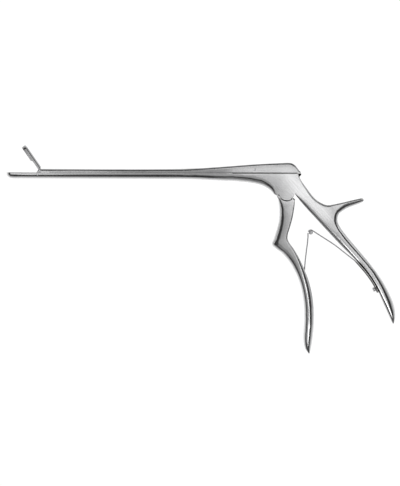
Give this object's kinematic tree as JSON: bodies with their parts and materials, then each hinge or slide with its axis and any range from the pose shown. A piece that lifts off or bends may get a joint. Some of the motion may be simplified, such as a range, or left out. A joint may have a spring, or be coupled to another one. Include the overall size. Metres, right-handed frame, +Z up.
{
  "type": "bone rongeur",
  "caption": "Slide-action bone rongeur with a straight slender shaft, small cupped jaws, a hinged front handle, a rear handle with a spur and a pair of leaf springs.",
  "frame": {"origin": "centre of the object's bounding box seen from above, on the surface it lies on", "axes": "+X runs from the jaws towards the handles along the shaft, +Y from the handle tips towards the shaft, +Z up, across the width of the instrument as it lies on its side"},
  "size_m": [0.2723, 0.1452, 0.0095],
  "materials": {
    "satin_steel": "satin blasted and brushed stainless steel",
    "spring_steel": "rolled stainless spring steel",
    "pin_steel": "turned and polished stainless steel"
  },
  "bodies": {
    "shaft": {"shaft_and_rear_handle": "satin_steel", "jaw_pivot_pin": "pin_steel", "handle_pivot_screw": "pin_steel", "rear_spring_screw": "pin_steel"},
    "slide": {"upper_slide": "satin_steel", "slide_retaining_pin": "pin_steel"},
    "jaw": {"upper_jaw": "satin_steel", "jaw_drive_pin": "pin_steel"},
    "handle": {"front_handle": "satin_steel", "front_spring_screw": "pin_steel"},
    "front_spring": {"front_leaf_spring": "spring_steel"},
    "rear_spring": {"rear_leaf_spring": "spring_steel", "spring_roller": "pin_steel"}
  },
  "joints": [
    {"name": "handle_squeeze", "type": "hinge", "parent": "shaft", "child": "handle", "pos_m": [0.0599, 0.0397, 0.00475], "axis": [0, 0, 1], "range_deg": [0, 9.9], "stiffness_Nm_per_rad": 4, "springref_deg": -5.73},
    {"name": "slide_travel", "type": "slide", "parent": "shaft", "child": "slide", "axis": [-1, 0, 0], "range_m": [0, 0.00268]},
    {"name": "jaw_close", "type": "hinge", "parent": "shaft", "child": "jaw", "pos_m": [-0.1142, 0.0522, 0.00475], "axis": [0, 0, 1], "range_deg": [0, 55]},
    {"name": "front_leaf_bend", "type": "hinge", "parent": "handle", "child": "front_spring", "pos_m": [0.07265, -0.0155, 0.00475], "axis": [0, 0, 1], "range_deg": [0, 5], "deforming": ["front_leaf_spring"]},
    {"name": "rear_leaf_bend", "type": "hinge", "parent": "shaft", "child": "rear_spring", "pos_m": [0.10772, -0.00744, 0.00475], "axis": [0, 0, 1], "range_deg": [-6.5, 0], "deforming": ["rear_leaf_spring"]}
  ],
  "couplings": [
    {"joint": "slide_travel", "follows": "handle_squeeze", "m_per_rad": 0.01548},
    {"joint": "jaw_close", "follows": "handle_squeeze", "ratio": 5.548},
    {"joint": "front_leaf_bend", "follows": "handle_squeeze", "ratio": 0.46},
    {"joint": "rear_leaf_bend", "follows": "handle_squeeze", "ratio": -0.631}
  ]
}
